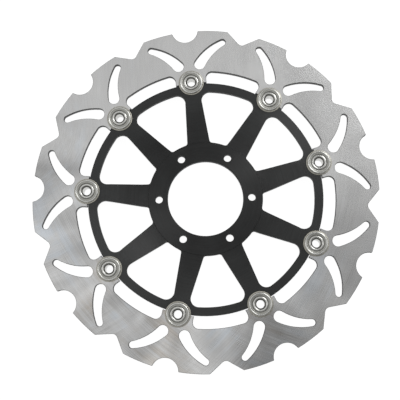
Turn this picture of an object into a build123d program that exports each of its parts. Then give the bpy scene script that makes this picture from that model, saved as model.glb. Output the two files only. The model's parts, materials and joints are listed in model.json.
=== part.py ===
from build123d import *
import os
from math import atan2, cos, degrees, hypot, radians, sin, sqrt

# Floating scalloped-rim brake disc: a brake ring, a dished carrier and nine drive bobbins.
# Millimetres. Z is the disc axis, with the hub's mounting face at Z = 0 and +Z outboard.
# +X runs through a bolt hole.

# ---- The disc as a whole ----
disc_radius = 148.0
plate_thickness = 4.5  # brake ring and carrier ring alike
dish = 7.2  # ring's back face in front of the hub's mounting face
station_count = 9
first_station = 15.5  # degrees from +X to the first bobbin
edge_break = 0.3

# ---- Brake ring ----
band_width = 36.9  # rim to the band's inner edge
lug_reach = 10.0  # band's inner edge to the end of a lug
lug_half_width = 13.35
lug_fillet = 5.2
notch_radius = 11.45
notch_rise = 1.85  # notch's centre outside the rim
notch_corner = 0.5
vee_half_angle = 5.5  # degrees, at the rim
vee_depth = 11.0  # rim to the sharp root
vee_root_fillet = 4.5
vee_corner = 0.8
slot_inner_end_radius = 4.85
slot_inner_end_side = 9.4  # off the bobbin's line
slot_inner_end_reach = 16.15  # outside the bobbin circle
slot_outer_end_radius = 2.9
slot_outer_end_inset = 9.85  # inside the rim
slot_outer_end_angle = 13.14  # degrees from the bobbin's line
slot_convex_bow = 50.0
slot_concave_bow = 45.0

# ---- Carrier ----
bore_radius = 32.5
bolt_land = 7.5  # bore's edge to the bolt circle
bolt_count = 6
bolt_hole_radius = 3.25
hub_rim = 9.4  # bolt circle to the hub's edge
hub_thickness = 6.0
boss_step = 0.4  # turned boss above the shelf round it
boss_inset = 0.3
shelf_width = 6.3  # hub's edge to the foot of the cone
cone_margin = 11.4  # top of the cone to the carrier ring
ring_width = 7.3
rim_gap = 0.7  # carrier ring to the lugs
spoke_root_half_width = 9.8
spoke_tip_half_width = 6.5
window_outer_fillet = 7.0
window_inner_fillet = 2.5
bore_chamfer = 0.5

# ---- Bobbins and what they carry ----
bobbin_offset = 1.1  # bobbin circle outside the carrier ring's edge
bobbin_radius = 6.0
seat_clearance = 0.05
washer_clearance = 0.15
bobbin_hole_radius = 3.5
hole_flare = 1.1
head_overhang = 3.9
head_height = 1.6
bead_radius = 0.9
bead_rise = 0.35
face_groove_width = 0.75
face_groove_depth = 0.7
collar_wall = 0.3
collar_rise = 0.3
tube_tail = 1.1  # below the circlip's groove
tube_chamfer = 0.4
shim_overhang = 4.9
shim_thickness = 0.5
washer_overhang = 4.5
washer_thickness = 1.0
washer_chamfer = 0.15
spring_clearance = 0.3
spring_width = 3.5
spring_height = 1.2
spring_thickness = 0.5
circlip_thickness = 1.0
circlip_groove_depth = 0.8
circlip_groove_play = 0.1
circlip_fit = 0.05
circlip_band = 1.8
circlip_gap_half_angle = 16.0
circlip_ear_radius = 1.25
circlip_ear_rise = 0.5  # ear's centre outside the middle of the band
circlip_ear_hole_radius = 0.6
circlip_turn_step = 70.0  # degrees from one circlip's gap to the next one's

# ---- Radii and levels that follow ----
station_pitch = 360.0 / station_count
band_inner = disc_radius - band_width
lug_end = band_inner - lug_reach
carrier_radius = lug_end - rim_gap
ring_inner = carrier_radius - ring_width
bobbin_circle = carrier_radius + bobbin_offset
seat_radius = bobbin_radius + seat_clearance
bolt_circle = bore_radius + bolt_land
hub_radius = bolt_circle + hub_rim
cone_inner = hub_radius + shelf_width
cone_outer = ring_inner - cone_margin
ring_back = dish
ring_front = ring_back + plate_thickness
head_bottom = ring_front + shim_thickness
washer_back = ring_back - washer_thickness
spring_back = washer_back - spring_height
circlip_back = spring_back - circlip_thickness
tube_end = circlip_back - tube_tail

os.makedirs("parts", exist_ok=True)


def stations(turn=0.0):
    """Places on the disc axis whose Y axis points along each bobbin's line, turned by some degrees."""
    return PolarLocations(0, station_count, start_angle=first_station - 90 + turn)


def station_centre(index):
    """Centre of one bobbin, in the disc's own XY plane."""
    angle = radians(first_station + index * station_pitch)
    return Vector(bobbin_circle * cos(angle), bobbin_circle * sin(angle))


def at_radius(radius):
    """Test for the corners of a sketch that lie at one distance from the disc axis."""
    return lambda corner: abs(hypot(corner.X, corner.Y) - radius) < 0.001


def near_station(corner):
    """Whether a corner of a sketch is nearer to a bobbin's line than to the line between two."""
    turn = degrees(atan2(corner.Y, corner.X)) - first_station
    return abs((turn + station_pitch / 2) % station_pitch - station_pitch / 2) < station_pitch / 4


def bow_centre(start, end, reaches):
    """Point at two given distances from start and end, on the right of the line between them."""
    start_reach, end_reach = reaches
    chord = end - start
    along = chord.normalized()
    foot = (start_reach**2 - end_reach**2 + chord.length**2) / (2 * chord.length)
    rise = sqrt(start_reach**2 - foot**2)
    return start + along * foot + Vector(along.Y, -along.X) * rise


def on_circle(centre, radius, towards):
    """Point of a circle on the side of another point."""
    return centre + (towards - centre).normalized() * radius


# ---- Slots of one station: two tapered, bowed slots, mirrored about the bobbin's line ----
slot_start = Vector(slot_inner_end_side, bobbin_circle + slot_inner_end_reach)
slot_end_reach = disc_radius - slot_outer_end_inset
slot_end_turn = radians(slot_outer_end_angle)
slot_end = Vector(slot_end_reach * sin(slot_end_turn), slot_end_reach * cos(slot_end_turn))
slot_axis = (slot_end - slot_start).normalized()
convex_reaches = (slot_convex_bow - slot_inner_end_radius, slot_convex_bow - slot_outer_end_radius)
concave_reaches = (slot_concave_bow + slot_inner_end_radius, slot_concave_bow + slot_outer_end_radius)
convex_centre = bow_centre(slot_start, slot_end, convex_reaches)
concave_centre = bow_centre(slot_start, slot_end, concave_reaches)
convex_start = on_circle(convex_centre, slot_convex_bow, slot_start)
convex_end = on_circle(convex_centre, slot_convex_bow, slot_end)
convex_middle = on_circle(convex_centre, slot_convex_bow, (convex_start + convex_end) / 2)
concave_start = on_circle(concave_centre, slot_concave_bow, slot_start)
concave_end = on_circle(concave_centre, slot_concave_bow, slot_end)
concave_middle = on_circle(concave_centre, slot_concave_bow, (concave_start + concave_end) / 2)

with BuildSketch() as slot_pair:
    with BuildLine():
        ThreePointArc(convex_start, convex_middle, convex_end)
        ThreePointArc(convex_end, slot_end + slot_axis * slot_outer_end_radius, concave_end)
        ThreePointArc(concave_end, concave_middle, concave_start)
        ThreePointArc(concave_start, slot_start - slot_axis * slot_inner_end_radius, convex_start)
    make_face()
    mirror(about=Plane.YZ)

# ---- Vee notch, on the line between two stations, with its mouth carried past the rim ----
vee_turn = radians(vee_half_angle)
vee_side = disc_radius * sin(vee_turn)
vee_root = disc_radius - vee_depth
vee_slope = vee_side / (disc_radius * cos(vee_turn) - vee_root)

with BuildSketch() as vee_notch:
    Polygon(
        (0, vee_root),
        (2 * vee_depth * vee_slope, vee_root + 2 * vee_depth),
        (-2 * vee_depth * vee_slope, vee_root + 2 * vee_depth),
        align=None,
    )
    fillet(vee_notch.vertices().sort_by(Axis.Y)[0], vee_root_fillet)

# ---- Brake ring ----
with BuildPart() as brake_ring:
    with BuildSketch(Plane.XY.offset(ring_back)) as ring_outline:
        Circle(disc_radius)
        with stations(turn=station_pitch / 2):
            add(vee_notch.sketch, mode=Mode.SUBTRACT)
        fillet(ring_outline.vertices().filter_by(at_radius(disc_radius)), vee_corner)
        with stations():
            with Locations((0, disc_radius + notch_rise)):
                Circle(notch_radius, mode=Mode.SUBTRACT)
        rim_corners = ring_outline.vertices().filter_by(at_radius(disc_radius))
        fillet(rim_corners.filter_by(near_station), notch_corner)
        Circle(band_inner, mode=Mode.SUBTRACT)
        with stations():
            with Locations((0, band_inner - lug_reach / 2)):
                Rectangle(2 * lug_half_width, 3 * lug_reach)
        fillet(ring_outline.vertices().filter_by(at_radius(band_inner)), lug_fillet)
        Circle(lug_end, mode=Mode.SUBTRACT)
        with stations():
            add(slot_pair.sketch, mode=Mode.SUBTRACT)
            with Locations((0, bobbin_circle)):
                Circle(seat_radius, mode=Mode.SUBTRACT)
    extrude(amount=plate_thickness)
    chamfer(brake_ring.faces().filter_by(Axis.Z).edges(), edge_break)
brake_ring.part.label = "brake_ring"
export_step(brake_ring.part, "parts/brake_ring.step")

# ---- Carrier ----
spoke_taper = (spoke_tip_half_width - spoke_root_half_width) / (ring_inner - hub_radius)
spoke_foot = hub_radius - hub_rim
spoke_head = ring_inner + ring_width
spoke_foot_half_width = spoke_root_half_width + spoke_taper * (spoke_foot - hub_radius)
spoke_head_half_width = spoke_root_half_width + spoke_taper * (spoke_head - hub_radius)

with BuildSketch() as windows:
    Circle(ring_inner)
    Circle(hub_radius, mode=Mode.SUBTRACT)
    with stations():
        Polygon(
            (-spoke_foot_half_width, spoke_foot),
            (spoke_foot_half_width, spoke_foot),
            (spoke_head_half_width, spoke_head),
            (-spoke_head_half_width, spoke_head),
            align=None,
            mode=Mode.SUBTRACT,
        )
    fillet(windows.vertices().filter_by(at_radius(ring_inner)), window_outer_fillet)
    fillet(windows.vertices().filter_by(at_radius(hub_radius)), window_inner_fillet)

with BuildPart() as carrier:
    with BuildSketch(Plane.XZ):
        with BuildLine():
            Polyline(
                (bore_radius, 0),
                (cone_inner, 0),
                (cone_outer, ring_back),
                (carrier_radius, ring_back),
                (carrier_radius, ring_front),
                (cone_outer, ring_front),
                (cone_inner, hub_thickness - boss_step),
                (hub_radius - boss_inset, hub_thickness - boss_step),
                (hub_radius - boss_inset, hub_thickness),
                (bore_radius, hub_thickness),
                close=True,
            )
        make_face()
    revolve(axis=Axis.Z)
    with BuildSketch():
        add(windows.sketch)
    extrude(amount=ring_front, mode=Mode.SUBTRACT)
    with BuildSketch(Plane.XY.offset(ring_back)):
        with stations():
            with Locations((0, bobbin_circle)):
                Circle(seat_radius)
    extrude(amount=plate_thickness, mode=Mode.SUBTRACT)
    with PolarLocations(bolt_circle, bolt_count):
        Hole(bolt_hole_radius)
    bore_edges = carrier.edges().filter_by(GeomType.CIRCLE)
    chamfer(bore_edges.filter_by(lambda edge: abs(edge.radius - bore_radius) < 0.001), bore_chamfer)
carrier.part.label = "carrier"
export_step(carrier.part, "parts/carrier.step")

# ---- Sections of the turned pieces: X is the distance from the bobbin's axis, Y the height ----
head_radius = bobbin_radius + head_overhang
head_face = head_bottom + head_height
bead_crown = head_face + bead_rise
bead_centre = head_radius - bead_radius
bead_foot = bead_centre - sqrt(bead_radius**2 - (bead_radius - bead_rise) ** 2)
collar_radius = bobbin_radius + collar_wall
flare_radius = bobbin_hole_radius + hole_flare
groove_radius = bobbin_radius - circlip_groove_depth
washer_hole_radius = bobbin_radius + washer_clearance
spring_hole_radius = bobbin_radius + spring_clearance

with BuildSketch() as bobbin_section:
    with BuildLine():
        Polyline(
            (flare_radius, head_face),
            (bobbin_hole_radius, head_face - hole_flare),
            (bobbin_hole_radius, tube_end),
            (bobbin_radius - tube_chamfer, tube_end),
            (bobbin_radius, tube_end + tube_chamfer),
            (bobbin_radius, circlip_back),
            (groove_radius, circlip_back),
            (groove_radius, spring_back + circlip_groove_play),
            (bobbin_radius, spring_back + circlip_groove_play),
            (bobbin_radius, head_bottom),
            (head_radius, head_bottom),
            (head_radius, bead_crown - bead_radius),
        )
        ThreePointArc(
            (head_radius, bead_crown - bead_radius), (bead_centre, bead_crown), (bead_foot, head_face)
        )
        Polyline(
            (bead_foot, head_face),
            (collar_radius + face_groove_width, head_face),
            (collar_radius + face_groove_width, head_face - face_groove_depth),
            (collar_radius, head_face - face_groove_depth),
            (collar_radius, head_face),
        )
        ThreePointArc(
            (collar_radius, head_face),
            ((collar_radius + flare_radius) / 2, head_face + collar_rise),
            (flare_radius, head_face),
        )
    make_face()

with BuildSketch() as shim_section:
    with Locations((washer_hole_radius, ring_front)):
        Rectangle(bobbin_radius + shim_overhang - washer_hole_radius, shim_thickness, align=Align.MIN)
    chamfer(shim_section.vertices().group_by(Axis.X)[-1], washer_chamfer)

with BuildSketch() as washer_section:
    with Locations((washer_hole_radius, washer_back)):
        Rectangle(
            bobbin_radius + washer_overhang - washer_hole_radius, washer_thickness, align=Align.MIN
        )
    chamfer(washer_section.vertices().group_by(Axis.X)[-1], washer_chamfer)

with BuildSketch() as spring_section:
    Polygon(
        (spring_hole_radius, spring_back),
        (spring_hole_radius + spring_width, washer_back - spring_thickness),
        (spring_hole_radius + spring_width, washer_back),
        (spring_hole_radius, spring_back + spring_thickness),
        align=None,
    )

turned_sections = {
    "bobbin": bobbin_section.sketch,
    "front_shim": shim_section.sketch,
    "back_washer": washer_section.sketch,
    "disc_spring": spring_section.sketch,
}

# ---- Circlip outline, about the bobbin's axis, with its gap on +X ----
circlip_inner = groove_radius + circlip_fit
circlip_outer = circlip_inner + circlip_band
circlip_ear_reach = circlip_inner + circlip_band / 2 + circlip_ear_rise
circlip_ear_turn = circlip_gap_half_angle + degrees(circlip_ear_radius / circlip_ear_reach)
gap_turn = radians(circlip_gap_half_angle)
gap_reach = 2 * circlip_outer

with BuildSketch() as circlip_outline:
    Circle(circlip_outer)
    Circle(circlip_inner, mode=Mode.SUBTRACT)
    with PolarLocations(circlip_ear_reach, 2, -circlip_ear_turn, 2 * circlip_ear_turn, endpoint=True):
        Circle(circlip_ear_radius)
        Circle(circlip_ear_hole_radius, mode=Mode.SUBTRACT)
    Polygon(
        (0, 0),
        (gap_reach * cos(gap_turn), -gap_reach * sin(gap_turn)),
        (gap_reach * cos(gap_turn), gap_reach * sin(gap_turn)),
        align=None,
        mode=Mode.SUBTRACT,
    )

# ---- The five pieces of each station ----
for index in range(station_count):
    centre = station_centre(index)
    for name, section in turned_sections.items():
        with BuildPart() as turned:
            with BuildSketch(Plane(origin=centre, x_dir=(1, 0, 0), z_dir=(0, -1, 0))):
                add(section)
            revolve(axis=Axis(centre, (0, 0, 1)))
        turned.part.label = f"{name}_{index + 1}"
        export_step(turned.part, f"parts/{name}_{index + 1}.step")
    clip_turn = radians(index * circlip_turn_step)
    clip_gap_line = Vector(cos(clip_turn), sin(clip_turn))
    clip_origin = centre + Vector(0, 0, circlip_back)
    with BuildPart() as circlip:
        with BuildSketch(Plane(origin=clip_origin, x_dir=clip_gap_line, z_dir=(0, 0, 1))):
            add(circlip_outline.sketch)
        extrude(amount=circlip_thickness)
    circlip.part.label = f"circlip_{index + 1}"
    export_step(circlip.part, f"parts/circlip_{index + 1}.step")
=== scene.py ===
"""Looks of a floating brake disc: its finishes, its turned pieces, its edges and a plain studio."""

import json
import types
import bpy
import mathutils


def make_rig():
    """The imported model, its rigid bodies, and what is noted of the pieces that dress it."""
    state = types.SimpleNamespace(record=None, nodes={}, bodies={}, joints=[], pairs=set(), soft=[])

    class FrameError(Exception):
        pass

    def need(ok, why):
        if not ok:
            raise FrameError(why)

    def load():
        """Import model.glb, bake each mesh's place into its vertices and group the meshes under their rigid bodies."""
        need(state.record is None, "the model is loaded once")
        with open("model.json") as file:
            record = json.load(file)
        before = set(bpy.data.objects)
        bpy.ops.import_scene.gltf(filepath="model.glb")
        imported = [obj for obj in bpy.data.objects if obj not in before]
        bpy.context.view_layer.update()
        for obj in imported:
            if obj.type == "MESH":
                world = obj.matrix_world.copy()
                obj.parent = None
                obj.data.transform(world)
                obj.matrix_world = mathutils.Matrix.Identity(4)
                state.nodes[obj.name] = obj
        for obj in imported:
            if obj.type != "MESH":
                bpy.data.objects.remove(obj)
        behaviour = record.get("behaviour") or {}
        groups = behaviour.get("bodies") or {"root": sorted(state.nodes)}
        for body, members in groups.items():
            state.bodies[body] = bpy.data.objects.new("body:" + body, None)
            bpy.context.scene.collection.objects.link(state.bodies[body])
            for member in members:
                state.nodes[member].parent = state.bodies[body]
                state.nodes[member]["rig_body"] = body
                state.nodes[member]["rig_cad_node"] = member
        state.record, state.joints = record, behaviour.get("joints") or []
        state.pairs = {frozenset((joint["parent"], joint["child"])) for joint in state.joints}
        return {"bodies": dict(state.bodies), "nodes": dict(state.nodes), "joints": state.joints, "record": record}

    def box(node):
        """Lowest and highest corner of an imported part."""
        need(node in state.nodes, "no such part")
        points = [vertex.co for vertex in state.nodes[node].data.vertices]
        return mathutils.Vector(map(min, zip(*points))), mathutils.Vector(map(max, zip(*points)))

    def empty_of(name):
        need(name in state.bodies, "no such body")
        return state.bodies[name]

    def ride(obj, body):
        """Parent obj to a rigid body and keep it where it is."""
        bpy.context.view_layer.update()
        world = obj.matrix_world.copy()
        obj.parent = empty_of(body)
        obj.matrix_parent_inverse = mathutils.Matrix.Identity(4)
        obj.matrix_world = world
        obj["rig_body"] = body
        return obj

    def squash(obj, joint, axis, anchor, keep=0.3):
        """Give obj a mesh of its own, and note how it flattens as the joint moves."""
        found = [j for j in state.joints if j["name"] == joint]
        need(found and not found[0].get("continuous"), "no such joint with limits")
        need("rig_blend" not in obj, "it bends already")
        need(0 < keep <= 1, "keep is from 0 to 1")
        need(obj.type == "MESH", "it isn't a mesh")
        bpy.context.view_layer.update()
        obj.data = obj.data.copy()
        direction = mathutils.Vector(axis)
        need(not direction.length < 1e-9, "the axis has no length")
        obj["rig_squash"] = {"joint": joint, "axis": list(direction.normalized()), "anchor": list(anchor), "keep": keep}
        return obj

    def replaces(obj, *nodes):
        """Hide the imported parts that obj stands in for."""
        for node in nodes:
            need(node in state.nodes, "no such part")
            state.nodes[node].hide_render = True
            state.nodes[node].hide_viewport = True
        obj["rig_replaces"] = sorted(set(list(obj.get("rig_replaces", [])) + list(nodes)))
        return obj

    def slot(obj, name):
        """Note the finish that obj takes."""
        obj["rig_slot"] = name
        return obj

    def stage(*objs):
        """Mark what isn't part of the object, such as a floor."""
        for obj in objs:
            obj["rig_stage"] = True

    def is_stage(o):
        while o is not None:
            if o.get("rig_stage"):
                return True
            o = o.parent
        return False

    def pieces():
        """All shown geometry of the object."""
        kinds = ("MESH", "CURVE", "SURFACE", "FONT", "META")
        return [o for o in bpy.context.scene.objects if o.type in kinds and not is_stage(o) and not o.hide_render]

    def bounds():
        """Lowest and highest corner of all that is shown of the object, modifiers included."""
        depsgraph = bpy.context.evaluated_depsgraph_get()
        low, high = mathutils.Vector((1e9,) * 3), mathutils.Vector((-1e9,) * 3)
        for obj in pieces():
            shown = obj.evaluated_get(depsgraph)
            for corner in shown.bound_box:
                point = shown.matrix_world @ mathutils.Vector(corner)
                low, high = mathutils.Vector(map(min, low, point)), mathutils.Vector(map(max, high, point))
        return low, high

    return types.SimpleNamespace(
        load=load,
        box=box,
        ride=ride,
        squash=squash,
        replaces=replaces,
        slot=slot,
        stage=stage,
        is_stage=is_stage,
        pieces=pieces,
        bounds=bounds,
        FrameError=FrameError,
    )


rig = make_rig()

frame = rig.load()
cad_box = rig.bounds()

import json
import math

import bmesh
import bpy
from bpy.props import FloatProperty, FloatVectorProperty, IntProperty, PointerProperty
from mathutils import Matrix, Vector

bl_info = {
    "name": "Floating brake disc",
    "version": (1, 0, 0),
    "blender": (4, 5, 0),
    "location": "3D View > Sidebar > Brake disc",
    "description": "Finishes and turned pieces of a floating brake disc around its CAD frame",
    "category": "Object",
}

MM = 0.001
SIZE_FILE = "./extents.json"
SHARP_ANGLE = math.radians(32)  # edges that turn more than this stay sharp, or are bevelled
PATH_RADIUS = 0.1 * MM  # radius of the circle that a section is swept along
CEILING_HEIGHT = 1.2
FLOOR_HALF_WIDTH = 40.0
FLOOR_DROP = 0.02 * MM  # keeps the floor clear of the hub's face

# ---- Places that follow from the frame ----


def station_axes():
    """Where each bobbin's axis stands, by bobbin name, from the joints it spins on."""
    spins = [joint for joint in frame["joints"] if joint["child"].startswith("bobbin_")]
    return {joint["child"]: Vector((joint["pos_m"][0], joint["pos_m"][1], 0)) for joint in spins}


def radius_of(low, high):
    """Radius of a round CAD node, from the corners of its box."""
    return (high.x - low.x) / 2


axes = station_axes()
bobbin_low, bobbin_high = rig.box("bobbin_1")
shim_low, shim_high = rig.box("front_shim_1")
washer_low, washer_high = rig.box("back_washer_1")
spring_low, spring_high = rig.box("disc_spring_1")
clip_low, clip_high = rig.box("circlip_1")


def colour_property(name, description, default):
    """A colour a user would change."""
    return FloatVectorProperty(
        name=name, description=description, default=default, subtype="COLOR", size=3, min=0.0, max=1.0
    )


def length_property(name, description, default):
    """A length a user would change."""
    return FloatProperty(
        name=name, description=description, default=default, min=0.0, unit="LENGTH", precision=5
    )


def share_property(name, description, default):
    """A share between none and all."""
    return FloatProperty(
        name=name, description=description, default=default, min=0.0, max=1.0, subtype="FACTOR"
    )


def power_property(name, description, default):
    """A lamp's power in watts."""
    return FloatProperty(name=name, description=description, default=default, min=0.0, unit="POWER")


def number_property(name, description, default):
    """A plain number from 0 upwards."""
    return FloatProperty(name=name, description=description, default=default, min=0.0)


class BrakeRingProperties(bpy.types.PropertyGroup):
    """Ground stainless ring with laser-cut walls."""

    steel: colour_property("Steel", "Colour of the brighter ground steel", (0.68, 0.68, 0.675))
    scratch: colour_property("Scratch", "Colour in the deeper grinding scratches", (0.20, 0.20, 0.20))
    cool_tint: colour_property("Cool tint", "Tint of the cooler grinding marks", (0.78, 0.88, 1.0))
    warm_tint: colour_property("Warm tint", "Tint of the warmer grinding marks", (1.0, 0.90, 0.78))
    wall: colour_property("Cut wall", "Colour of the laser-cut walls", (0.016, 0.0155, 0.015))
    roughness: share_property("Roughness", "Roughness of the ground faces", 0.27)
    wheel_reach: length_property("Wheel reach", "Radius of the grinding arcs", 190 * MM)
    scratch_pitch: length_property("Scratch pitch", "Width of one grinding scratch", 0.75 * MM)
    # painted highlight: the number and angle of the bright fans painted into the ring's colour
    lobes: number_property("Lobes", "Bright fans in a full turn", 6.0)
    lobe_turn: FloatProperty(
        name="Lobe turn", description="Where one bright fan lies", default=math.radians(196), subtype="ANGLE"
    )
    edge_break: length_property("Edge break", "Chamfer round every cut edge", 0.70 * MM)
    scratch_depth: length_property("Scratch depth", "Depth of the grinding scratches", 0.0005 * MM)


class CarrierProperties(bpy.types.PropertyGroup):
    """Black anodised, dished and spoked carrier."""

    black: colour_property("Anodised", "Colour of the anodised skin", (0.0080, 0.0084, 0.0084))
    roughness: share_property("Roughness", "Roughness of the anodised skin", 0.42)
    turned: share_property("Turned", "How much the turning marks stretch highlights", 0.85)
    gloss: share_property("Gloss", "Specular level of the anodised skin", 0.30)
    edge_round: length_property("Edge round", "Rounding of every sharp edge", 0.25 * MM)
    turning_pitch: length_property("Turning pitch", "Feed of the turning marks", 0.35 * MM)
    turning_depth: length_property("Turning depth", "Depth of the turning marks", 0.030 * MM)


class BobbinProperties(bpy.types.PropertyGroup):
    """Turned and plated drive bobbin."""

    plating: colour_property("Plating", "Colour of the plated flange", (0.29, 0.29, 0.268))
    # painted light: the bead and collar get a painted highlight, the flare and groove get painted shade, and the hole's
    # wall is painted pale
    painted_highlight: colour_property("Rubbed", "Colour of the bead and the collar", (0.50, 0.50, 0.478))
    painted_recess_shade: colour_property("Recess", "Colour in the flare and the groove", (0.15, 0.15, 0.138))
    bore_painted_light: colour_property("Bore", "Colour of the hole's wall", (0.62, 0.62, 0.60))
    roughness: share_property("Roughness", "Roughness of the plating", 0.36)
    hole_radius: length_property("Hole radius", "Radius of the hole through the bobbin", 3.5 * MM)
    flare: length_property("Flare", "Width and depth of the flare at the hole's mouth", 1.1 * MM)
    body_radius: length_property("Body radius", "Radius of the body that runs in the seats", 6.0 * MM)
    head_height: length_property("Head height", "Flange face above the front shim", 1.6 * MM)
    bead_radius: length_property("Bead radius", "Radius of the bead round the flange", 0.9 * MM)
    collar_wall: length_property("Collar wall", "Collar outside the body's radius", 0.3 * MM)
    collar_rise: length_property("Collar rise", "Crown of the collar above the flange face", 0.3 * MM)
    groove_width: length_property("Groove width", "Width of the groove round the collar", 0.75 * MM)
    groove_depth: length_property("Groove depth", "Depth of the groove round the collar", 0.7 * MM)
    clip_groove_depth: length_property("Clip groove depth", "Depth of the circlip's groove", 0.8 * MM)
    clip_groove_play: length_property("Clip play", "Circlip groove's width over the circlip's", 0.1 * MM)
    tail_chamfer: length_property("Tail chamfer", "Chamfer at the bobbin's end", 0.4 * MM)
    edge_round: length_property("Edge round", "Rounding of every turned corner", 0.06 * MM)
    segments: IntProperty(name="Segments", description="Facets round the axis", default=112, min=16)


class WasherProperties(bpy.types.PropertyGroup):
    """Front shims, back washers and disc springs."""

    shim: colour_property("Shim", "Colour of the front shims", (0.33, 0.32, 0.28))
    washer: colour_property("Washer", "Colour of the back washers", (0.42, 0.42, 0.39))
    spring: colour_property("Spring", "Colour of springs and circlips", (0.055, 0.054, 0.052))
    play: length_property("Washer play", "Hole's radius over the bobbin's", 0.15 * MM)
    spring_play: length_property("Spring play", "Spring hole's radius over the bobbin's", 0.3 * MM)
    spring_thickness: length_property("Spring thickness", "Thickness of a disc spring", 0.5 * MM)
    edge_round: length_property("Edge round", "Rounding of the washers' edges", 0.12 * MM)


class StageProperties(bpy.types.PropertyGroup):
    """Floor, lights and camera."""

    floor: share_property("Floor", "How much of the studio's light the floor scatters", 0.10)
    floor_glow: number_property("Floor glow", "Light of the floor's own", 0.96)
    camera_place: FloatVectorProperty(
        name="Camera", description="Where the camera stands", default=(9.91 * MM, -109.65 * MM, 714.07 * MM),
        subtype="TRANSLATION", unit="LENGTH",
    )
    camera_target: FloatVectorProperty(
        name="Target", description="What the camera looks at", default=(-4.58 * MM, -2.24 * MM, 11.7 * MM),
        subtype="TRANSLATION", unit="LENGTH",
    )
    camera_roll: FloatProperty(
        name="Roll", description="Camera's lean to its right", default=math.radians(1.443), subtype="ANGLE"
    )
    lens: FloatProperty(name="Lens", description="Focal length", default=75.08, subtype="DISTANCE_CAMERA")
    sky: number_property("Sky", "Strength of the even light", 0.30)
    horizon: number_property("Horizon", "Strength near the horizon", 0.80)
    left_ceiling: power_property("Left ceiling", "Large softbox overhead on the left", 5.566)
    right_ceiling: power_property("Right ceiling", "Softbox overhead on the right", 1.15)
    fan: power_property("Fan", "Softbox that lights the cones", 12.0)
    side: power_property("Side", "Softboxes at both sides, each", 1.2)


class BrakeDiscProperties(bpy.types.PropertyGroup):
    """Everything that can be set on the brake disc."""

    ring: PointerProperty(type=BrakeRingProperties)
    carrier: PointerProperty(type=CarrierProperties)
    bobbin: PointerProperty(type=BobbinProperties)
    washer: PointerProperty(type=WasherProperties)
    stage: PointerProperty(type=StageProperties)


# ---- Node trees written as expressions ----


class Value:
    """One socket of a node tree. Arithmetic on it adds Math nodes."""

    def __init__(self, tree, socket):
        self.tree = tree
        self.socket = socket

    def math(self, operation, *others):
        return self.tree.add("ShaderNodeMath", [self, *others], {"operation": operation})

    def __add__(self, other):
        return self.math("ADD", other)

    def __radd__(self, other):
        return self.math("ADD", other)

    def __sub__(self, other):
        return self.math("SUBTRACT", other)

    def __rsub__(self, other):
        return self.tree.add("ShaderNodeMath", [other, self], {"operation": "SUBTRACT"})

    def __mul__(self, other):
        return self.math("MULTIPLY", other)

    def __rmul__(self, other):
        return self.math("MULTIPLY", other)

    def __truediv__(self, other):
        return self.math("DIVIDE", other)

    def __rtruediv__(self, other):
        return self.tree.add("ShaderNodeMath", [other, self], {"operation": "DIVIDE"})

    def __pow__(self, other):
        return self.math("POWER", other)

    def __abs__(self):
        return self.math("ABSOLUTE")

    def swing(self, amount):
        """How far a pattern between 0 and 1 is from its middle, times an amount."""
        return (self - 0.5) * amount

    def smooth(self, low, high):
        """0 below low, 1 above high, and a soft step between."""
        inputs = {"Value": self, "From Min": low, "From Max": high}
        return self.tree.add("ShaderNodeMapRange", inputs, {"interpolation_type": "SMOOTHSTEP"})

    def between(self, low, high, blur):
        """1 from low to high, fading over a blur at both ends."""
        return self.smooth(low - blur, low + blur) * (1 - self.smooth(high - blur, high + blur))

    def parts(self):
        """The X, Y and Z of a vector."""
        split = self.tree.add("ShaderNodeSeparateXYZ", [self])
        return [Value(self.tree, socket) for socket in split.socket.node.outputs]


class Tree:
    """A shader or geometry tree that is being built."""

    def __init__(self, tree):
        self.tree = tree

    def add(self, kind, inputs=(), settings=None, output=0):
        """Adds one node: its settings first, then the values or links of its sockets."""
        node = self.tree.nodes.new(kind)
        for name, setting in (settings or {}).items():
            setattr(node, name, setting)
        pairs = inputs.items() if isinstance(inputs, dict) else enumerate(inputs)
        for key, value in pairs:
            self.feed(node.inputs[key], value)
        return Value(self, node.outputs[output]) if len(node.outputs) else node

    def feed(self, socket, value):
        """Links a Value to a socket, or sets a plain one on it."""
        if isinstance(value, Value):
            self.tree.links.new(value.socket, socket)
        else:
            socket.default_value = value


class Finish(Tree):
    """A material made of one Principled surface and what varies over it."""

    def __init__(self, name, constants=None):
        self.material = bpy.data.materials.new(name)
        self.material.use_nodes = True
        super().__init__(self.material.node_tree)
        self.surface = self.tree.nodes["Principled BSDF"]
        for socket, value in (constants or {}).items():
            self.surface.inputs[socket].default_value = value

    def place(self):
        """Object coordinates in millimetres."""
        coordinates = self.add("ShaderNodeTexCoord", output="Object")
        return self.add("ShaderNodeMapping", {"Vector": coordinates, "Scale": (1 / MM,) * 3})

    def steepness(self):
        """0 on a face that looks along the disc axis, 1 on one that stands along it."""
        normal = self.add("ShaderNodeTexCoord", output="Normal")
        return 1 - abs(normal.parts()[2])

    def vector(self, *parts):
        return self.add("ShaderNodeCombineXYZ", parts)

    def noise(self, place, scale, detail=2.0, roughness=0.5):
        inputs = {"Vector": place, "Scale": scale, "Detail": detail, "Roughness": roughness}
        return self.add("ShaderNodeTexNoise", inputs)

    def mix(self, factor, first, second, blend="MIX"):
        """Mixes two colours."""
        rgba = [value if isinstance(value, Value) else (*value, 1.0) for value in (first, second)]
        inputs = {0: factor, 6: rgba[0], 7: rgba[1]}
        settings = {"data_type": "RGBA", "blend_type": blend}
        return self.add("ShaderNodeMix", inputs, settings, output=2)

    def bump(self, height, depth, strength=1.0):
        return self.add("ShaderNodeBump", {"Height": height, "Distance": depth, "Strength": strength})

    def set(self, **sockets):
        """Feeds the Principled surface, and returns the material."""
        for name, value in sockets.items():
            self.feed(self.surface.inputs[name.replace("_", " ").title()], value)
        return self.material


def about_axis(place):
    """Distance from an upright axis, the direction from it as two parts, and the height."""
    across, along, height = place.parts()
    reach = (across * across + along * along) ** 0.5
    return reach, across / reach, along / reach, height


# ---- Finishes ----


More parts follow.
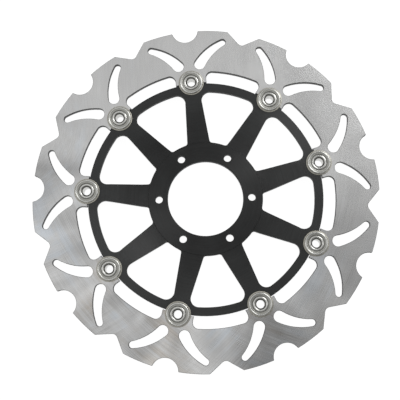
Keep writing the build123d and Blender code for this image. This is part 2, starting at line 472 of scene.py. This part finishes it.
LEFT_WHEEL = (-0.93, 0.36)  # directions of the two grinding wheels' centres
RIGHT_WHEEL = (0.80, 0.60)
STREAK_LENGTHS = (30, 60, 12)  # of fine and broad scratches and of relief, in millimetres
BROAD_PITCH = 7.0
RELIEF_PITCH = 0.3  # against the scratches' own
PATCH_SCALE = 0.014  # noise scales from here on are per millimetre
CLOUD_SCALE = 0.030
TINT_SCALE = 0.0175
RIB_SCALE = 3.0
RIB_RISE = 12.0  # depth of a wall's ribs against a scratch's


def shades(colour, *shares):
    """Darker and lighter versions of a colour."""
    return [[share * part for part in colour] for share in shares]


def grinding_arcs(finish, place, centre, pitch, layer):
    """Scratches on arcs about a grinding wheel's centre: fine across them, long along them."""
    fine_length, broad_length, relief_length = STREAK_LENGTHS
    across, along, _ = place.parts()
    wheel = math.hypot(*centre)
    towards = (-centre[0] / wheel, -centre[1] / wheel)
    ahead = across * towards[0] + along * towards[1] + wheel
    aside = along * towards[0] - across * towards[1]
    reach = (ahead * ahead + aside * aside) ** 0.5
    length = aside.math("ARCTAN2", ahead) * wheel
    fine = finish.noise(finish.vector(reach / pitch, length / fine_length, layer), 1.0, 4.0, 0.7)
    broad = finish.vector(reach / BROAD_PITCH, length / broad_length, layer + 7)
    broad = finish.noise(broad, 1.0, 3.0, 0.6)
    relief = finish.vector(reach / (RELIEF_PITCH * pitch), length / relief_length, layer + 3)
    relief = finish.noise(relief, 1.0, 2.0, 0.6)
    return fine, broad, relief


def ground_steel(look):
    """Ground faces with crossing arcs, broken edges and dark, ribbed laser-cut walls."""
    finish = Finish("ground_steel")
    place = finish.place()
    wheel = look.wheel_reach / MM
    pitch = look.scratch_pitch / MM
    left = grinding_arcs(finish, place, [part * wheel for part in LEFT_WHEEL], pitch, 1.0)
    right = grinding_arcs(finish, place, [part * wheel for part in RIGHT_WHEEL], pitch, 4.0)
    share = finish.noise(place, PATCH_SCALE, 1.0).smooth(0.38, 0.62) * 0.7 + 0.15
    fine, broad, relief = [first * share + second * (1 - share) for first, second in zip(left, right)]
    cloud = finish.noise(place, CLOUD_SCALE, 2.0, 0.5)
    across, along, height = place.parts()
    reach, east, north, _ = about_axis(place)
    # painted highlight: bright fans by angle round the axis, painted where ground steel would reflect the lamps
    painted_fans = finish.noise(finish.vector(east * 3.6, north * 3.6, reach / 90), 1.0, 2.0, 0.5)
    lobes = north.math("ARCTAN2", east) * look.lobes - look.lobes * look.lobe_turn
    painted_fans = painted_fans + lobes.math("COSINE") * 0.10
    # the lower left has the strongest scratches and tints, which are partly the finish, and the brightest painted
    # highlight fans
    worked_and_highlit = (cloud - across / 500 - along / 260).smooth(0.2, 1.0)
    tone = 0.5 + fine.swing(0.20 + worked_and_highlit * 0.36) + broad.swing(0.10 + worked_and_highlit * 0.32)
    tone = tone + painted_fans.swing(0.12 + worked_and_highlit * 0.95) + cloud.swing(0.12)
    face = finish.mix(tone.smooth(0.0, 1.0), look.scratch, look.steel)
    drift = finish.noise(place, TINT_SCALE, 2.0)
    tint = (broad + drift - 1.0) * 6.0
    face = finish.mix(tint.smooth(0.0, 1.6) * (0.06 + worked_and_highlit * 0.40), face, look.cool_tint, "MULTIPLY")
    face = finish.mix((0 - tint).smooth(0.2, 1.8) * worked_and_highlit * 0.55, face, look.warm_tint, "MULTIPLY")

    steep = finish.steepness()
    wall = steep.smooth(0.12, 0.30)
    ribs = finish.noise(finish.vector(across * RIB_SCALE, along * RIB_SCALE, height * 0.25), 1.0, 2.0, 0.6)
    burnt = finish.mix(ribs, *shades(look.wall, 0.6, 1.6))
    colour = finish.mix(wall, face, burnt)

    roughness = look.roughness + fine.swing(0.10) + cloud.swing(0.12)
    roughness = roughness * (1 - wall) + wall * 0.55
    relief = relief * (1 - wall) + ribs * wall * RIB_RISE
    normal = finish.bump(relief, look.scratch_depth)
    return finish.set(base_color=colour, roughness=roughness, metallic=1 - wall * 0.9, normal=normal)


# painted light: the band where the cones and the outer ring are painted paler, as if they caught the lamps
PALER = (46.0, 98.0)  # between these distances from the axis, in millimetres, the skin gets paler


def black_anodised(look):
    """Matt black anodising over turned faces and milled walls, with painted light that makes it a little paler towards
    the rim.
    """
    constants = {"Specular IOR Level": look.gloss, "Anisotropic": look.turned, "Anisotropic Rotation": 0.25}
    finish = Finish("black_anodised", constants)
    place = finish.place()
    reach, east, north, _ = about_axis(place)
    wall = finish.steepness().smooth(0.85, 0.97)
    feed = look.turning_pitch / MM
    marks = finish.noise(finish.vector(reach / feed, east * 1.5, north * 1.5), 1.0, 2.0, 0.6)
    grain = finish.noise(place, 2.2, 2.0, 0.6)
    cloud = finish.noise(place, 0.05, 2.0)
    tone = 0.42 + cloud.swing(0.6) + marks.swing(0.7) * (1 - wall) + grain.swing(0.2)
    # painted light: paler towards the rim, where the cones and the outer ring catch the lamps
    tone = tone + reach.smooth(*PALER) * 0.40
    colour = finish.mix(tone.smooth(0.0, 1.2), *shades(look.black, 0.25, 3.2))
    roughness = look.roughness + grain.swing(0.12) + marks.swing(0.12)
    normal = finish.bump(marks * (1 - wall) + grain * 0.05, look.turning_depth)
    return finish.set(base_color=colour, roughness=roughness, normal=normal)


def own_place(finish):
    """A turned piece's own coordinates in millimetres, from its axis."""
    from_axis = finish.add("ShaderNodeAttribute", settings={"attribute_name": "from_axis"}, output="Vector")
    return finish.add("ShaderNodeMapping", {"Vector": from_axis, "Scale": (1 / MM,) * 3})


TOOL_MARK = 0.004 * MM  # depths of turned marks, bare and under plating
PLATED_MARK = 0.0015 * MM


def turned_rings(finish, place, count):
    """Fine rings round a turned piece's axis, so many to a millimetre."""
    reach, east, north, height = about_axis(place)
    rings = finish.vector(reach * count, east * 0.6, height * count + north * 0.6)
    return finish.noise(rings, 1.0, 2.0, 0.6)


def plated_steel(look):
    """Plated steel: a dull flange, a painted highlight on the bead and the collar, painted shade in the flare and the
    groove, and painted light on the hole's wall.
    """
    finish = Finish("plated_steel", {"Metallic": 1.0})
    place = own_place(finish)
    reach, _, _, height = about_axis(place)
    rings = turned_rings(finish, place, 4.0)
    cloud = finish.noise(place, 0.12, 1.0)
    flange = radius_of(bobbin_low, bobbin_high)
    hole = look.hole_radius / MM
    flare = hole + look.flare / MM
    collar = (look.body_radius + look.collar_wall) / MM
    groove = collar + look.groove_width / MM
    bead = (flange - 1.6 * look.bead_radius) / MM
    rim = (flange + look.bead_radius) / MM
    seat = shim_high.z / MM
    upper = height.smooth(seat + 0.1, seat + 0.6)
    # painted highlight on the bead and the collar, painted shade in the flare and the groove, and the hole's wall
    # painted pale as if lit
    painted_highlight = upper * (reach.between(flare, collar, 0.12) + reach.between(bead, rim, 0.25))
    painted_recess_shade = upper * (reach.between(hole + 0.1, flare, 0.12) + reach.between(collar, groove, 0.10))
    bore_painted_light = 1 - reach.smooth(hole, hole + 0.12)
    tone = (0.5 + rings.swing(0.7) + cloud.swing(0.5)).smooth(0.0, 1.0)
    shade = finish.mix(tone, *shades(look.plating, 0.85, 1.15))
    shade = finish.mix(painted_highlight, shade, look.painted_highlight)
    shade = finish.mix(painted_recess_shade, shade, look.painted_recess_shade)
    shade = finish.mix(bore_painted_light, shade, look.bore_painted_light)
    rough = look.roughness + cloud.swing(0.10) + rings.swing(0.10) - painted_highlight * 0.10
    return finish.set(base_color=shade, roughness=rough, normal=finish.bump(rings, PLATED_MARK, 0.6))


def turned_metal(name, colour, roughness, metallic=1.0):
    """Metal turned about its own axis: fine rings and a little dulling between them."""
    finish = Finish(name, {"Metallic": metallic})
    place = own_place(finish)
    rings = turned_rings(finish, place, 5.0)
    cloud = finish.noise(place, 0.35, 2.0)
    tone = (0.5 + rings.swing(0.9) + cloud.swing(0.8)).smooth(0.0, 1.0)
    shade = finish.mix(tone, *shades(colour, 0.75, 1.25))
    rough = roughness + cloud.swing(0.15) + rings.swing(0.10)
    return finish.set(base_color=shade, roughness=rough, normal=finish.bump(rings, TOOL_MARK, 0.6))


def phosphated_steel(look):
    """Dark phosphated spring steel with a fine crystalline grain."""
    finish = Finish("spring_steel", {"Metallic": 0.7})
    place = finish.place()
    grain = finish.noise(place, 4.0, 3.0, 0.7)
    cloud = finish.noise(place, 0.3, 2.0)
    tone = (0.5 + grain.swing(0.8) + cloud.swing(0.8)).smooth(0.0, 1.0)
    shade = finish.mix(tone, *shades(look.spring, 0.6, 1.6))
    rough = 0.42 + grain.swing(0.2)
    return finish.set(base_color=shade, roughness=rough, normal=finish.bump(grain, TOOL_MARK, 0.5))


def give(material, *names):
    """Puts a material on CAD nodes."""
    for name in names:
        node = frame["nodes"][name]
        for material_slot in node.material_slots:
            material_slot.material = material


def made_plain(piece, modifier):
    """Gives a piece the plain mesh that its modifier makes, and removes the modifier."""
    before = piece.data
    evaluated = piece.evaluated_get(bpy.context.evaluated_depsgraph_get())
    mesh = bpy.data.meshes.new_from_object(evaluated)
    piece.modifiers.remove(modifier)
    piece.data = mesh
    bpy.data.meshes.remove(before)
    mesh.name = piece.name
    return mesh


# ---- Turned pieces, swept by one geometry tree ----


def swept_section_tree():
    """The geometry tree that rounds a section's corners and sweeps it round an upright axis."""
    made = bpy.data.node_groups.get("swept_section")
    if made:
        return made
    group = bpy.data.node_groups.new("swept_section", "GeometryNodeTree")
    socket = group.interface.new_socket
    socket("Section", in_out="INPUT", socket_type="NodeSocketGeometry")
    socket("Segments", in_out="INPUT", socket_type="NodeSocketInt")
    socket("Edge round", in_out="INPUT", socket_type="NodeSocketFloat")
    socket("Axis", in_out="INPUT", socket_type="NodeSocketVector")
    socket("Material", in_out="INPUT", socket_type="NodeSocketMaterial")
    socket("Piece", in_out="OUTPUT", socket_type="NodeSocketGeometry")

    tree = Tree(group)
    given = group.nodes.new("NodeGroupInput").outputs
    section, segments, edge_round, axis, material = [Value(tree, given[index]) for index in range(5)]
    outline = tree.add("GeometryNodeMeshToCurve", {"Mesh": section})
    rounding = {"Curve": outline, "Count": 3, "Radius": edge_round, "Limit Radius": True}
    outline = tree.add("GeometryNodeFilletCurve", rounding, {"mode": "POLY"})
    # the circle is only a fifth of a millimetre wide, because the section's own X carries the radius
    path = tree.add("GeometryNodeCurvePrimitiveCircle", {"Resolution": segments, "Radius": PATH_RADIUS})
    piece = tree.add("GeometryNodeCurveToMesh", {"Curve": path, "Profile Curve": outline})
    position = tree.add("GeometryNodeInputPosition")
    piece = tree.add(
        "GeometryNodeStoreNamedAttribute",
        {"Geometry": piece, "Name": "from_axis", "Value": position},
        {"data_type": "FLOAT_VECTOR", "domain": "POINT"},
    )
    piece = tree.add("GeometryNodeTransform", {"Geometry": piece, "Translation": axis})
    piece = tree.add("GeometryNodeRealizeInstances", {"Geometry": piece})
    piece = tree.add("GeometryNodeSetMaterial", {"Geometry": piece, "Material": material})
    tree.feed(group.nodes.new("NodeGroupOutput").inputs[0], piece)
    return group


def sweep(name, section, axis, tree, material, segments, edge_round):
    """A closed section of (radius, height) points, swept round an axis into a plain mesh."""
    # the path's own frame hangs upside down, so heights change sign and the order is reversed
    points = [(radius - PATH_RADIUS, -height, 0.0) for radius, height in reversed(section)]
    count = len(points)
    outline = bpy.data.meshes.new(name + "_section")
    outline.from_pydata(points, [(index, (index + 1) % count) for index in range(count)], [])
    piece = bpy.data.objects.new(name, outline)
    bpy.context.scene.collection.objects.link(piece)
    modifier = piece.modifiers.new("swept_section", "NODES")
    modifier.node_group = tree
    given = {"Segments": segments, "Edge round": edge_round, "Axis": axis, "Material": material}
    for item in tree.interface.items_tree:
        if item.name in given:
            modifier[item.identifier] = given[item.name]
    piece.update_tag()
    mesh = made_plain(piece, modifier)
    mesh.shade_smooth()
    mesh.set_sharp_from_angle(angle=SHARP_ANGLE)
    return piece


def arc(centre, radius, start, end, steps):
    """Points along an arc, from one angle in degrees to another."""
    turns = [math.radians(start + (end - start) * step / steps) for step in range(steps + 1)]
    return [(centre[0] + radius * math.cos(turn), centre[1] + radius * math.sin(turn)) for turn in turns]


def bobbin_section(look):
    """Half-section of a bobbin, anticlockwise, from the foot of its flare."""
    crown = bobbin_high.z
    head_bottom = shim_high.z
    face = head_bottom + look.head_height
    head_radius = radius_of(bobbin_low, bobbin_high)
    bead_centre = (head_radius - look.bead_radius, crown - look.bead_radius)
    bead_end = 180 - math.degrees(math.asin((face - bead_centre[1]) / look.bead_radius))
    body = look.body_radius
    collar = body + look.collar_wall
    flare = look.hole_radius + look.flare
    groove = body - look.clip_groove_depth
    groove_top = clip_high.z + look.clip_groove_play
    half_collar = (collar - flare) / 2
    collar_radius = (half_collar**2 + look.collar_rise**2) / (2 * look.collar_rise)
    collar_centre = ((collar + flare) / 2, face + look.collar_rise - collar_radius)
    collar_turn = math.degrees(math.asin(half_collar / collar_radius))
    return [
        (look.hole_radius, face - look.flare),
        (look.hole_radius, bobbin_low.z),
        (body - look.tail_chamfer, bobbin_low.z),
        (body, bobbin_low.z + look.tail_chamfer),
        (body, clip_low.z),
        (groove, clip_low.z),
        (groove, groove_top),
        (body, groove_top),
        (body, head_bottom),
        (head_radius, head_bottom),
        *arc(bead_centre, look.bead_radius, 0, bead_end, 12),
        (collar + look.groove_width, face),
        (collar + look.groove_width, face - look.groove_depth),
        (collar, face - look.groove_depth),
        *arc(collar_centre, collar_radius, 90 - collar_turn, 90 + collar_turn, 8),
    ]


def flat_washer_section(low, high, hole_radius):
    """Half-section of a flat washer that fills a CAD washer's box."""
    outer = radius_of(low, high)
    return [(hole_radius, low.z), (outer, low.z), (outer, high.z), (hole_radius, high.z)]


def disc_spring_section(hole_radius, thickness):
    """Half-section of a disc spring that rises from its hole to its rim."""
    outer = radius_of(spring_low, spring_high)
    return [
        (hole_radius, spring_low.z),
        (outer, spring_high.z - thickness),
        (outer, spring_high.z),
        (hole_radius, spring_low.z + thickness),
    ]


def turned_set(prefix, node_prefix, slot, section, tree, material, edge_round, body_of_station):
    """One turned piece at every station, in place of its CAD node.

    body_of_station turns a bobbin's name into that of the body that the piece rides on.
    """
    segments = bpy.context.scene.brake_disc.bobbin.segments
    pieces = []
    for bobbin, axis in axes.items():
        number = bobbin.rsplit("_", 1)[1]
        piece = sweep(f"{prefix}_{number}", section, axis, tree, material, segments, edge_round)
        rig.ride(piece, body_of_station(bobbin))
        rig.replaces(piece, f"{node_prefix}_{number}")
        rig.slot(piece, slot)
        pieces.append(piece)
    return pieces


# ---- Ring and carrier, with their edges broken ----


def edged_copy(name, node, material, width, segments):
    """A copy of a CAD node with every sharp edge bevelled, riding on the node's own body."""
    mesh = frame["nodes"][node].data.copy()
    mesh.name = name
    form = bmesh.new()
    form.from_mesh(mesh)
    bmesh.ops.remove_doubles(form, verts=form.verts, dist=0.0005 * MM)
    if any(len(edge.link_faces) != 2 for edge in form.edges):
        raise RuntimeError(f"the copy of {node} isn't closed")
    form.to_mesh(mesh)
    form.free()
    mesh.attributes.remove(mesh.attributes["custom_normal"])
    mesh.shade_smooth()
    mesh.materials.clear()
    mesh.materials.append(material)
    piece = bpy.data.objects.new(name, mesh)
    bpy.context.scene.collection.objects.link(piece)
    bevel = piece.modifiers.new("edge_break", "BEVEL")
    bevel.width = width
    bevel.segments = segments
    bevel.limit_method = "ANGLE"
    bevel.angle_limit = SHARP_ANGLE
    bevel.harden_normals = True
    made_plain(piece, bevel)
    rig.ride(piece, node)
    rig.replaces(piece, node)
    return piece


# ---- Stage ----


def softbox(name, place, target, size, power):
    """A rectangular softbox that faces a point."""
    light = bpy.data.lights.new(name, "AREA")
    light.shape = "RECTANGLE"
    light.size, light.size_y = size
    light.energy = power
    lamp = bpy.data.objects.new(name, light)
    lamp.location = place
    lamp.rotation_mode = "QUATERNION"
    lamp.rotation_quaternion = (Vector(target) - Vector(place)).to_track_quat("-Z", "Y")
    bpy.context.scene.collection.objects.link(lamp)


def studio_sky(look):
    """Even light from above that grows towards the horizon, as pale studio walls give."""
    world = bpy.data.worlds.new("studio")
    world.use_nodes = True
    tree = Tree(world.node_tree)
    direction = tree.add("ShaderNodeTexCoord", output="Generated")
    low = 1 - direction.parts()[2].smooth(0.10, 0.60)
    background = world.node_tree.nodes["Background"]
    tree.feed(background.inputs["Strength"], look.sky + low * (look.horizon - look.sky))
    background.inputs["Color"].default_value = (1.0, 1.0, 1.0, 1.0)
    return world


def pale_floor(look):
    """A lit, pale floor under the hub's mounting face."""
    finish = Finish("pale_floor", {"Roughness": 0.9})
    white = (1.0, 1.0, 1.0, 1.0)
    finish.set(base_color=(*[look.floor] * 3, 1.0), emission_color=white, emission_strength=look.floor_glow)
    half = FLOOR_HALF_WIDTH
    corners = [(-half, -half, 0), (half, -half, 0), (half, half, 0), (-half, half, 0)]
    mesh = bpy.data.meshes.new("floor")
    mesh.from_pydata(corners, [], [(0, 1, 2, 3)])
    mesh.materials.append(finish.material)
    floor = bpy.data.objects.new("floor", mesh)
    floor.location.z = cad_box[0].z - FLOOR_DROP
    bpy.context.scene.collection.objects.link(floor)
    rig.stage(floor)


def aimed_camera(look):
    """The camera, aimed at its target and rolled about its line of sight."""
    camera = bpy.data.cameras.new("camera")
    camera.sensor_width = 36.0
    camera.lens = look.lens
    camera.clip_start = 0.01
    eye = bpy.data.objects.new("camera", camera)
    place = Vector(look.camera_place)
    back = (place - Vector(look.camera_target)).normalized()
    right = Vector((0, 1, 0)).cross(back).normalized()
    up = back.cross(right)
    turned_up = up * math.cos(look.camera_roll) + right * math.sin(look.camera_roll)
    turned_right = turned_up.cross(back)
    columns = [turned_right.to_4d(), turned_up.to_4d(), back.to_4d(), place.to_4d()]
    for column in columns[:3]:
        column.w = 0
    eye.matrix_world = Matrix(columns).transposed()
    bpy.context.scene.collection.objects.link(eye)
    bpy.context.scene.camera = eye


# ---- Operators ----


class MakeBrakeRing(bpy.types.Operator):
    """Make the brake ring with its ground faces, broken edges and laser-cut walls"""

    bl_idname = "brake_disc.brake_ring"
    bl_label = "Brake ring"

    def execute(self, context):
        look = context.scene.brake_disc.ring
        piece = edged_copy("ground_ring", "brake_ring", ground_steel(look), look.edge_break, 1)
        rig.slot(piece, "ground_steel")
        return {"FINISHED"}


class MakeCarrier(bpy.types.Operator):
    """Make the black carrier with its edges softened, as anodised parts have them"""

    bl_idname = "brake_disc.carrier"
    bl_label = "Carrier"

    def execute(self, context):
        look = context.scene.brake_disc.carrier
        piece = edged_copy("spoked_carrier", "carrier", black_anodised(look), look.edge_round, 3)
        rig.slot(piece, "black_anodised")
        return {"FINISHED"}


class MakeBobbins(bpy.types.Operator):
    """Turn the nine bobbins with their beads, collars and grooves"""

    bl_idname = "brake_disc.bobbins"
    bl_label = "Bobbins"

    def execute(self, context):
        look = context.scene.brake_disc.bobbin
        metal = plated_steel(look)
        tree = swept_section_tree()
        section = bobbin_section(look)
        turned_set(
            "turned_bobbin", "bobbin", "plated_steel", section, tree, metal, look.edge_round, str
        )
        return {"FINISHED"}


class MakeWashers(bpy.types.Operator):
    """Make the front shims, the back washers and the disc springs, which flatten as the ring floats"""

    bl_idname = "brake_disc.washers"
    bl_label = "Shims, washers and springs"

    def execute(self, context):
        look = context.scene.brake_disc.washer
        body_radius = context.scene.brake_disc.bobbin.body_radius
        tree = swept_section_tree()
        hole = body_radius + look.play
        shim_metal = turned_metal("shim_steel", look.shim, 0.38)
        shim = flat_washer_section(shim_low, shim_high, hole)
        turned_set("flat_shim", "front_shim", "shim_steel", shim, tree, shim_metal, look.edge_round, str)
        washer_metal = turned_metal("washer_steel", look.washer, 0.32)
        washer = flat_washer_section(washer_low, washer_high, hole)
        turned_set(
            "flat_washer", "back_washer", "plated_steel", washer, tree, washer_metal, look.edge_round,
            lambda bobbin: "brake_ring",
        )
        spring_metal = turned_metal("dark_spring_steel", look.spring, 0.36, metallic=0.8)
        spring = disc_spring_section(body_radius + look.spring_play, look.spring_thickness)
        springs = turned_set(
            "cone_spring", "disc_spring", "spring_steel", spring, tree, spring_metal, look.edge_round, str
        )
        height = spring_high.z - spring_low.z
        ring_float = next(joint for joint in frame["joints"] if joint["name"] == "ring_float")
        travel = -min(ring_float["range_m"])
        for piece in springs:
            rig.squash(
                piece, "ring_float", axis=(0, 0, 1), anchor=(0, 0, spring_low.z), keep=(height - travel) / height
            )
        return {"FINISHED"}


class MakeCirclips(bpy.types.Operator):
    """Give the circlips their phosphated finish"""

    bl_idname = "brake_disc.circlips"
    bl_label = "Circlips"

    def execute(self, context):
        steel = phosphated_steel(context.scene.brake_disc.washer)
        give(steel, *[name.replace("bobbin", "circlip") for name in axes])
        return {"FINISHED"}


class MakeStage(bpy.types.Operator):
    """Lay the floor, hang the softboxes and aim the camera"""

    bl_idname = "brake_disc.stage"
    bl_label = "Stage"

    def execute(self, context):
        look = context.scene.brake_disc.stage
        scene = context.scene
        scene.view_settings.view_transform = "Standard"
        scene.world = studio_sky(look)
        pale_floor(look)
        overhead = {
            "left_ceiling": ((-0.50, 0.25), (1.20, 1.9), look.left_ceiling),
            "right_ceiling": ((0.50, 0.575), (0.80, 1.25), look.right_ceiling),
        }
        for name, (over, size, power) in overhead.items():
            softbox(name, (*over, CEILING_HEIGHT), (*over, 0), size, power)
        aside = {
            "fan_softbox": ((0.90, 0.90, CEILING_HEIGHT), (0.6, 1.2), look.fan),
            "left_softbox": ((-1.0, 0.05, 0.65), (0.35, 1.0), look.side),
            "right_softbox": ((1.0, 0.0, 0.65), (0.35, 1.0), look.side),
        }
        for name, (place, size, power) in aside.items():
            softbox(name, place, (0, 0, 0), size, power)
        aimed_camera(look)
        return {"FINISHED"}


class BrakeDiscPanel(bpy.types.Panel):
    """Sizes, colours and operators of the brake disc"""

    bl_idname = "VIEW3D_PT_brake_disc"
    bl_label = "Brake disc"
    bl_space_type = "VIEW_3D"
    bl_region_type = "UI"
    bl_category = "Brake disc"

    def draw(self, context):
        disc = context.scene.brake_disc
        sections = {
            MakeBrakeRing: disc.ring,
            MakeCarrier: disc.carrier,
            MakeBobbins: disc.bobbin,
            MakeWashers: disc.washer,
            MakeCirclips: None,
            MakeStage: disc.stage,
        }
        for operator, group in sections.items():
            box = self.layout.box()
            box.operator(operator.bl_idname)
            for name in group.bl_rna.properties.keys() if group else ():
                if name not in {"rna_type", "name"}:
                    box.prop(group, name)


classes = (
    BrakeRingProperties,
    CarrierProperties,
    BobbinProperties,
    WasherProperties,
    StageProperties,
    BrakeDiscProperties,
    MakeBrakeRing,
    MakeCarrier,
    MakeBobbins,
    MakeWashers,
    MakeCirclips,
    MakeStage,
    BrakeDiscPanel,
)


def register():
    for part in classes:
        bpy.utils.register_class(part)
    bpy.types.Scene.brake_disc = PointerProperty(type=BrakeDiscProperties)


def unregister():
    del bpy.types.Scene.brake_disc
    for part in reversed(classes):
        bpy.utils.unregister_class(part)


def main():
    """Makes every piece in order and writes the CAD's and the visual model's boxes."""
    register()
    bpy.ops.brake_disc.brake_ring()
    bpy.ops.brake_disc.carrier()
    bpy.ops.brake_disc.bobbins()
    bpy.ops.brake_disc.washers()
    bpy.ops.brake_disc.circlips()
    bpy.ops.brake_disc.stage()
    visual_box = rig.bounds()
    boxes = {"cad": [list(corner) for corner in cad_box], "visual": [list(corner) for corner in visual_box]}
    with open(SIZE_FILE, "w") as file:
        json.dump(boxes, file)


if __name__ == "__main__":
    main()
